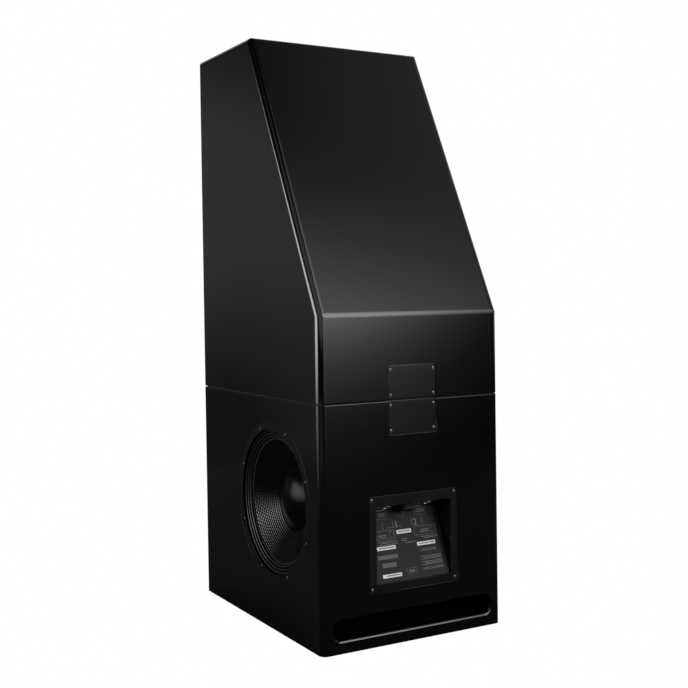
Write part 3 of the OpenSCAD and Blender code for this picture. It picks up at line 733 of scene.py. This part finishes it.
def label_art():
    """Generic artwork: socket boxes with leader lines, four white fields and grey blocks of dashes."""
    white = [(-20.5, 20.5, 105.5, 114.5), (31.0, 82.0, 72.5, 81.0), (-81.5, -29.5, 71.5, 80.0),
             (29.0, 80.5, 8.0, 16.5)]
    print_boxes("label_white_fields", white, 0.12, "label_metal", "print_white")
    lines = []
    for x0, x1 in ((-70.0, -39.0), (39.0, 71.0), (-9.0, 9.0)):
        lines += hollow_box(x0, x1, 145.0, 160.0)
    lines += hollow_box(26.0, 78.0, 96.5, 117.5) + hollow_box(-92.0, -28.0, 96.5, 117.5)
    lines += hollow_box(29.0, 41.0, 100.0, 114.0) + hollow_box(-90.0, -76.0, 99.5, 114.5)
    lines += [(-57.0, -56.3, 121.0, 141.0), (55.2, 55.9, 120.0, 138.0), (-27.2, -26.5, 122.0, 142.0),
              (2.0, 44.5, 122.4, 123.0), (26.2, 26.8, 121.0, 139.0)]
    print_boxes("label_lines", lines, 0.10, "label_metal", "print_grey")
    # Painted highlight: light strips along both side edges of the label plate, where its edges catch the
    # light.
    edge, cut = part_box("terminal_label_plate")[1].x / MM, 0.9
    print_boxes("label_painted_edge_highlights", [(-edge, cut - edge, 2.0, 160.0), (edge - cut, edge, 2.0, 160.0)], 0.06,
                "label_metal", "print_grey")
    small = lines_of_marks(-70, -41, 109, 2, 4.4, 1.7, 3) + lines_of_marks(50, 75, 107, 2, 4.4, 1.7, 5)
    small += lines_of_marks(-92, -37, 92.5, 2, 3.7, 1.3, 7) + lines_of_marks(24, 77, 92, 3, 3.7, 1.3, 19)
    small += lines_of_marks(-26, 8, 83.5, 1, 3.7, 1.5, 23) + lines_of_marks(-4, 14, 93.0, 2, 4.4, 1.4, 29)
    small += lines_of_marks(-80, -29, 63, 2, 3.6, 1.3, 9)
    for top, rows in ((46.0, 3), (33.0, 3), (19.0, 2)):
        small += lines_of_marks(-90, -30, top, rows, 3.5, 1.3, 13 + rows)
    small += lines_of_marks(-67, -41, 157, 2, 4.4, 1.6, 17) + lines_of_marks(42, 68, 157, 2, 4.4, 1.6, 21)
    print_boxes("label_small_print", small, 0.08, "label_metal", "print_grey")
    blocks = [(30.0, 84.0, 51.0, 60.0), (38.0, 76.0, 32.0, 42.0)]
    blocks += hollow_box(-14.0, 12.0, 9.0, 23.0, 0.8) + [(-9.0, 7.0, 13.0, 19.0)]
    print_boxes("label_plain_blocks", blocks, 0.08, "label_metal", "print_dim")
    marks = lines_of_marks(-17, 18, 111.6, 1, 4, 2.4, 5) + lines_of_marks(34, 79, 78.2, 1, 4, 2.4, 8)
    marks += lines_of_marks(-78, -33, 77.2, 1, 4, 2.4, 11) + lines_of_marks(32, 77, 13.7, 1, 4, 2.4, 15)
    print_boxes("label_field_marks", marks, 0.16, "label_metal", "label_metal")
    numerals()


def numerals():
    matrix = plate_frame()
    size, base, film = 23 * MM, 121 * MM, 0.06 * MM
    for text, x in (("1", 17.5), ("2", -36.0)):
        curve = bpy.data.curves.new("numeral_" + text, "FONT")
        curve.body = text
        curve.size = size
        curve.extrude = film
        curve.align_x = "CENTER"
        made = bpy.data.objects.new("numeral_curve", curve)
        bpy.context.scene.collection.objects.link(made)
        made.matrix_world = matrix @ Matrix.Translation((-x * MM, base, film))
        bpy.context.view_layer.update()
        mesh = bpy.data.meshes.new_from_object(made.evaluated_get(bpy.context.evaluated_depsgraph_get()))
        mesh.transform(made.matrix_world)
        bpy.data.objects.remove(made)
        piece = new_object("numeral_" + text, mesh)
        piece.data.materials.clear()
        piece.data.materials.append(MATERIAL["print_grey"])
        settle(piece, ROOT, "label_metal")


def socket_frame(name):
    """A socket's own frame: origin at the middle of its mouth, z the way its plug leaves."""
    row = mount_row(name)
    down = Vector(row["axis"])
    mouth = Vector(row["pos_m"]) + down * row["dims"]["length_mm"] / 2 * MM
    return frame_at(mouth, down, Vector((0, -down.z, down.y)))


def socket_rims():
    """Brass rims with keyways for the amplifier sockets, and a dark stepped body with pins for the link."""
    for i in (1, 2):
        matrix = socket_frame(f"amp_socket_{i}")
        rim = [(11.05, -14.0), (11.05, -1.2), (11.4, -0.35), (12.0, 0.0), (12.5, -0.2), (12.95, -0.9),
               (12.95, -26.5), (0.0, -26.5), (0.0, -15.9), (11.05, -15.9)]
        bm = bmesh.new()
        lathe(bm, rim, matrix, 96)
        for k in range(12):
            box_into(bm, (-0.5 * MM, 10.2 * MM, -12 * MM), (0.5 * MM, 11.1 * MM, -3 * MM),
                     matrix @ Matrix.Rotation(2 * math.pi * k / 12, 4, "Z"))
        piece = new_object(f"amp_socket_rim_{i}", finish_mesh(bm, f"amp_socket_rim_{i}", 40.0))
        settle(piece, ROOT, "socket_brass", ["amp_sockets"])
    matrix = socket_frame("link_socket_mouth")
    body = [(15.05, -19.9), (15.05, -1.0), (15.6, 0.0), (17.6, 0.0), (18.2, -0.6), (18.2, -7.0),
            (18.95, -7.8), (18.95, -38.0), (0.0, -38.0), (0.0, -19.9)]
    bm = bmesh.new()
    lathe(bm, body, matrix, 96)
    for k in range(8):
        turn = matrix @ Matrix.Rotation(2 * math.pi * k / 8, 4, "Z") @ Matrix.Translation((0, 8 * MM, 0))
        lathe(bm, [(0.0, -19.9), (1.0, -19.9), (1.0, -9.0), (0.6, -8.2), (0.0, -8.0)], turn, 12)
    for k in range(24):
        box_into(bm, (-0.7 * MM, 18.1 * MM, -6.4 * MM), (0.7 * MM, 18.6 * MM, -1.2 * MM),
                 matrix @ Matrix.Rotation(2 * math.pi * k / 24, 4, "Z"))
    piece = new_object("link_socket_body", finish_mesh(bm, "link_socket_body", 40.0))
    settle(piece, ROOT, "socket_plastic", ["link_socket"])


def rear_screws():
    lo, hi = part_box("tray_screws")
    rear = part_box("terminal_tray")[1].y
    head, inset, sunk = 4.0 * MM, 10 * MM, 0.15 * MM
    tray = [(x, z) for x in (lo.x + head, hi.x - head) for z in (lo.z + head, hi.z - head)]
    lo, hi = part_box("joint_plate_screws")
    covers = [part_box(n) for n in ("lower_joint_plate", "upper_joint_plate")]
    joint = [(x, z) for x in (lo.x + head, hi.x - head) for low, high in covers
             for z in (low.z + inset, high.z - inset)]
    for name, places, node in (("tray_screw_heads", tray, "tray_screws"),
                               ("cover_screw_heads", joint, "joint_plate_screws")):
        at = [frame_at(Vector((x, rear - sunk, z)), Vector((0, 1, 0))) for x, z in places]
        screw_set(name, at, 3.4, 0.5, "screw_steel", [node])


def tray_shell():
    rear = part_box("terminal_tray")[1].y
    refined("terminal_tray", 0.45 * MM, lambda a, b: all(p.y > rear - 0.1 * MM for p in (a, b)))
    refined("port_mouth", 0.2 * MM, lambda a, b: False)


# ---------------------------------------------------------------- stage, lights and camera

def stage():
    """A floor that is plain white to the camera and dark to everything that mirrors it."""
    reach = 2.4
    mesh = bpy.data.meshes.new("floor")
    mesh.from_pydata([(-reach, -reach, 0), (reach, -reach, 0), (reach, reach, 0), (-reach, reach, 0)], [],
                     [(0, 1, 2, 3)])
    floor = new_object("floor", mesh)
    s = Shader("pale_floor", Roughness=0.9, Specular_IOR_Level=0.0)
    s.colour(s.ramp(s.noise(3.0, 3.0), (0.095, 0.095, 0.095, 1), (0.110, 0.110, 0.110, 1)))
    path = s.node("ShaderNodeLightPath")
    glow = s.node("ShaderNodeEmission")
    mix = s.node("ShaderNodeMixShader")
    s.link(path.outputs["Is Camera Ray"], mix.inputs["Fac"])
    s.link(s.shader.outputs["BSDF"], mix.inputs[1])
    s.link(glow.outputs["Emission"], mix.inputs[2])
    s.link(mix.outputs["Shader"], s.tree.nodes["Material Output"].inputs["Surface"])
    mesh.materials.append(s.material)


class Sky:
    """The studio as a world: soft panels of light, each a smooth window on the direction's x, y and z."""

    def __init__(self):
        self.world = bpy.data.worlds.new("studio")
        bpy.context.scene.world = self.world
        self.world.use_nodes = True
        self.tree = self.world.node_tree
        self.tree.nodes.clear()
        coords = self.tree.nodes.new("ShaderNodeTexCoord")
        split = self.tree.nodes.new("ShaderNodeSeparateXYZ")
        self.tree.links.new(coords.outputs["Generated"], split.inputs[0])
        self.axis = dict(zip("xyz", split.outputs))
        lean = 0.15
        self.axis["slant"] = self.math("ADD", self.axis["x"], self.math("MULTIPLY", self.axis["z"], lean))
        self.total = None

    def math(self, operation, a, b):
        made = self.tree.nodes.new("ShaderNodeMath")
        made.operation = operation
        for socket, value in zip(made.inputs, (a, b)):
            if isinstance(value, float):
                socket.default_value = value
            else:
                self.tree.links.new(value, socket)
        return made.outputs[0]

    def window(self, axis, dark, bright, power=1.0):
        """0 where the axis is at dark, 1 where it is at bright, with a smooth change between."""
        made = self.tree.nodes.new("ShaderNodeMapRange")
        made.interpolation_type = "SMOOTHSTEP"
        made.inputs["From Min"].default_value = dark
        made.inputs["From Max"].default_value = bright
        self.tree.links.new(self.axis[axis], made.inputs["Value"])
        return self.math("POWER", made.outputs["Result"], power)

    def fade(self, axis, edge, reach):
        """1 beyond the edge, dying away before it over the reach."""
        away = self.math("DIVIDE", self.math("SUBTRACT", self.axis[axis], edge), reach)
        return self.math("EXPONENT", self.math("MINIMUM", away, 0.0), 0.0)

    def panel(self, strength, *windows, shape=None):
        value = strength if shape is None else self.math("MULTIPLY", shape, strength)
        for row in windows:
            value = self.math("MULTIPLY", self.window(*row), value)
        self.total = value if self.total is None else self.math("ADD", self.total, value)

    def finish(self, base):
        total = self.math("ADD", self.total, base)
        out = self.tree.nodes.new("ShaderNodeOutputWorld")
        mix = self.tree.nodes.new("ShaderNodeMixShader")
        path = self.tree.nodes.new("ShaderNodeLightPath")
        seen = self.tree.nodes.new("ShaderNodeBackground")
        lit = self.tree.nodes.new("ShaderNodeBackground")
        seen.inputs["Color"].default_value = (1, 1, 1, 1)
        lit.inputs["Color"].default_value = (0.95, 0.97, 1, 1)
        self.tree.links.new(total, lit.inputs["Strength"])
        self.tree.links.new(path.outputs["Is Camera Ray"], mix.inputs["Fac"])
        self.tree.links.new(lit.outputs[0], mix.inputs[1])
        self.tree.links.new(seen.outputs[0], mix.inputs[2])
        self.tree.links.new(mix.outputs[0], out.inputs["Surface"])


def studio():
    """Each row is a panel: its strength, then windows of axis, dark end, bright end and power.

    The object's right is +x, and +y is behind it, where the camera stands.
    """
    sky = Sky()
    # Level, behind and to the left. Both rear boards mirror it, and it dies away toward the floor.
    sky.panel(6.3, ("slant", -0.64, -0.46, 1.5), ("y", 0.42, 0.80, 1.1), ("x", 0.02, -0.15),
              shape=sky.fade("z", 0.021, 0.039))
    # High to the left: the sloping board mirrors it.
    sky.panel(0.34, ("x", -0.30, -0.64), ("z", 0.50, 0.66))
    # Ahead and to the right: the side walls mirror both, the second one only toward their rear edge.
    sky.panel(0.165, ("z", -0.11, 0.06), ("z", 0.27, 0.13), ("x", 0.05, 0.30), ("y", -0.40, -0.70))
    sky.panel(0.08, ("x", 0.41, 0.47), ("y", -0.60, -0.80), ("z", 0.30, 0.0))
    # To the right: the rounded vertical edge mirrors it as a bright line.
    sky.panel(10.0, ("x", 0.44, 0.62), ("y", -0.80, -0.44), ("y", 0.14, -0.14),
              ("z", -0.20, 0.12), ("z", 0.315, 0.258))
    # High to the right and behind, high ahead, and along the left.
    sky.panel(0.9, ("x", -0.10, 0.20), ("y", 0.10, 0.35), ("z", 0.30, 0.48), ("z", 0.80, 0.55))
    sky.panel(0.8, ("z", 0.30, 0.55), ("z", 0.95, 0.70), ("x", 0.35, 0.0), ("y", -0.15, -0.45))
    sky.panel(0.5, ("z", -0.05, 0.25), ("z", 0.80, 0.50), ("x", -0.75, -0.92))
    # Overhead, then a fill ahead and to the left, and one low behind and to the right.
    sky.panel(0.10, ("z", 0.88, 0.98))
    sky.panel(0.32, ("x", -0.20, -0.50), ("y", -0.25, -0.55), ("z", 0.75, 0.35))
    sky.panel(0.20, ("x", 0.20, 0.50), ("y", 0.20, 0.50), ("z", -0.02, -0.14))
    # Below the horizon, past the floor's end.
    sky.panel(0.008, ("z", 0.04, -0.04))
    sky.finish(0.032)


def camera():
    """The view from behind and to the right side, at about half the stack's height."""
    azimuth, elevation, roll = (math.radians(a) for a in (150.506, 1.33, -0.815))
    lens_mm, sensor_mm, shift = 56.98256, 36.0, -0.0348837
    distance, side, height = 2.856, 0.0062, 0.748
    back = Vector((math.sin(azimuth) * math.cos(elevation), -math.cos(azimuth) * math.cos(elevation),
                   math.sin(elevation)))
    right = (-back).cross(Vector((0, 0, 1))).normalized()
    up = right.cross(-back)
    rolled_right = right * math.cos(roll) + up * math.sin(roll)
    rolled_up = up * math.cos(roll) - right * math.sin(roll)
    data = bpy.data.cameras.new("camera")
    data.sensor_width = sensor_mm
    data.lens = lens_mm
    data.shift_y = shift
    eye = bpy.data.objects.new("camera", data)
    bpy.context.scene.collection.objects.link(eye)
    turn = Matrix((rolled_right, rolled_up, back)).transposed().to_4x4()
    eye.matrix_world = Matrix.Translation(back * distance + right * side + up * height) @ turn
    bpy.context.scene.camera = eye


# ---------------------------------------------------------------- everything together

for name, node in NODES.items():
    node.data.materials.clear()
    node.data.materials.append(MATERIAL[SLOT_OF[name]])

cabinet_pieces()
woofers()
mid_drivers()
coaxial()
tray_shell()
label_art()
socket_rims()
rear_screws()
stage()
studio()
camera()
bpy.context.scene.view_settings.view_transform = "Standard"
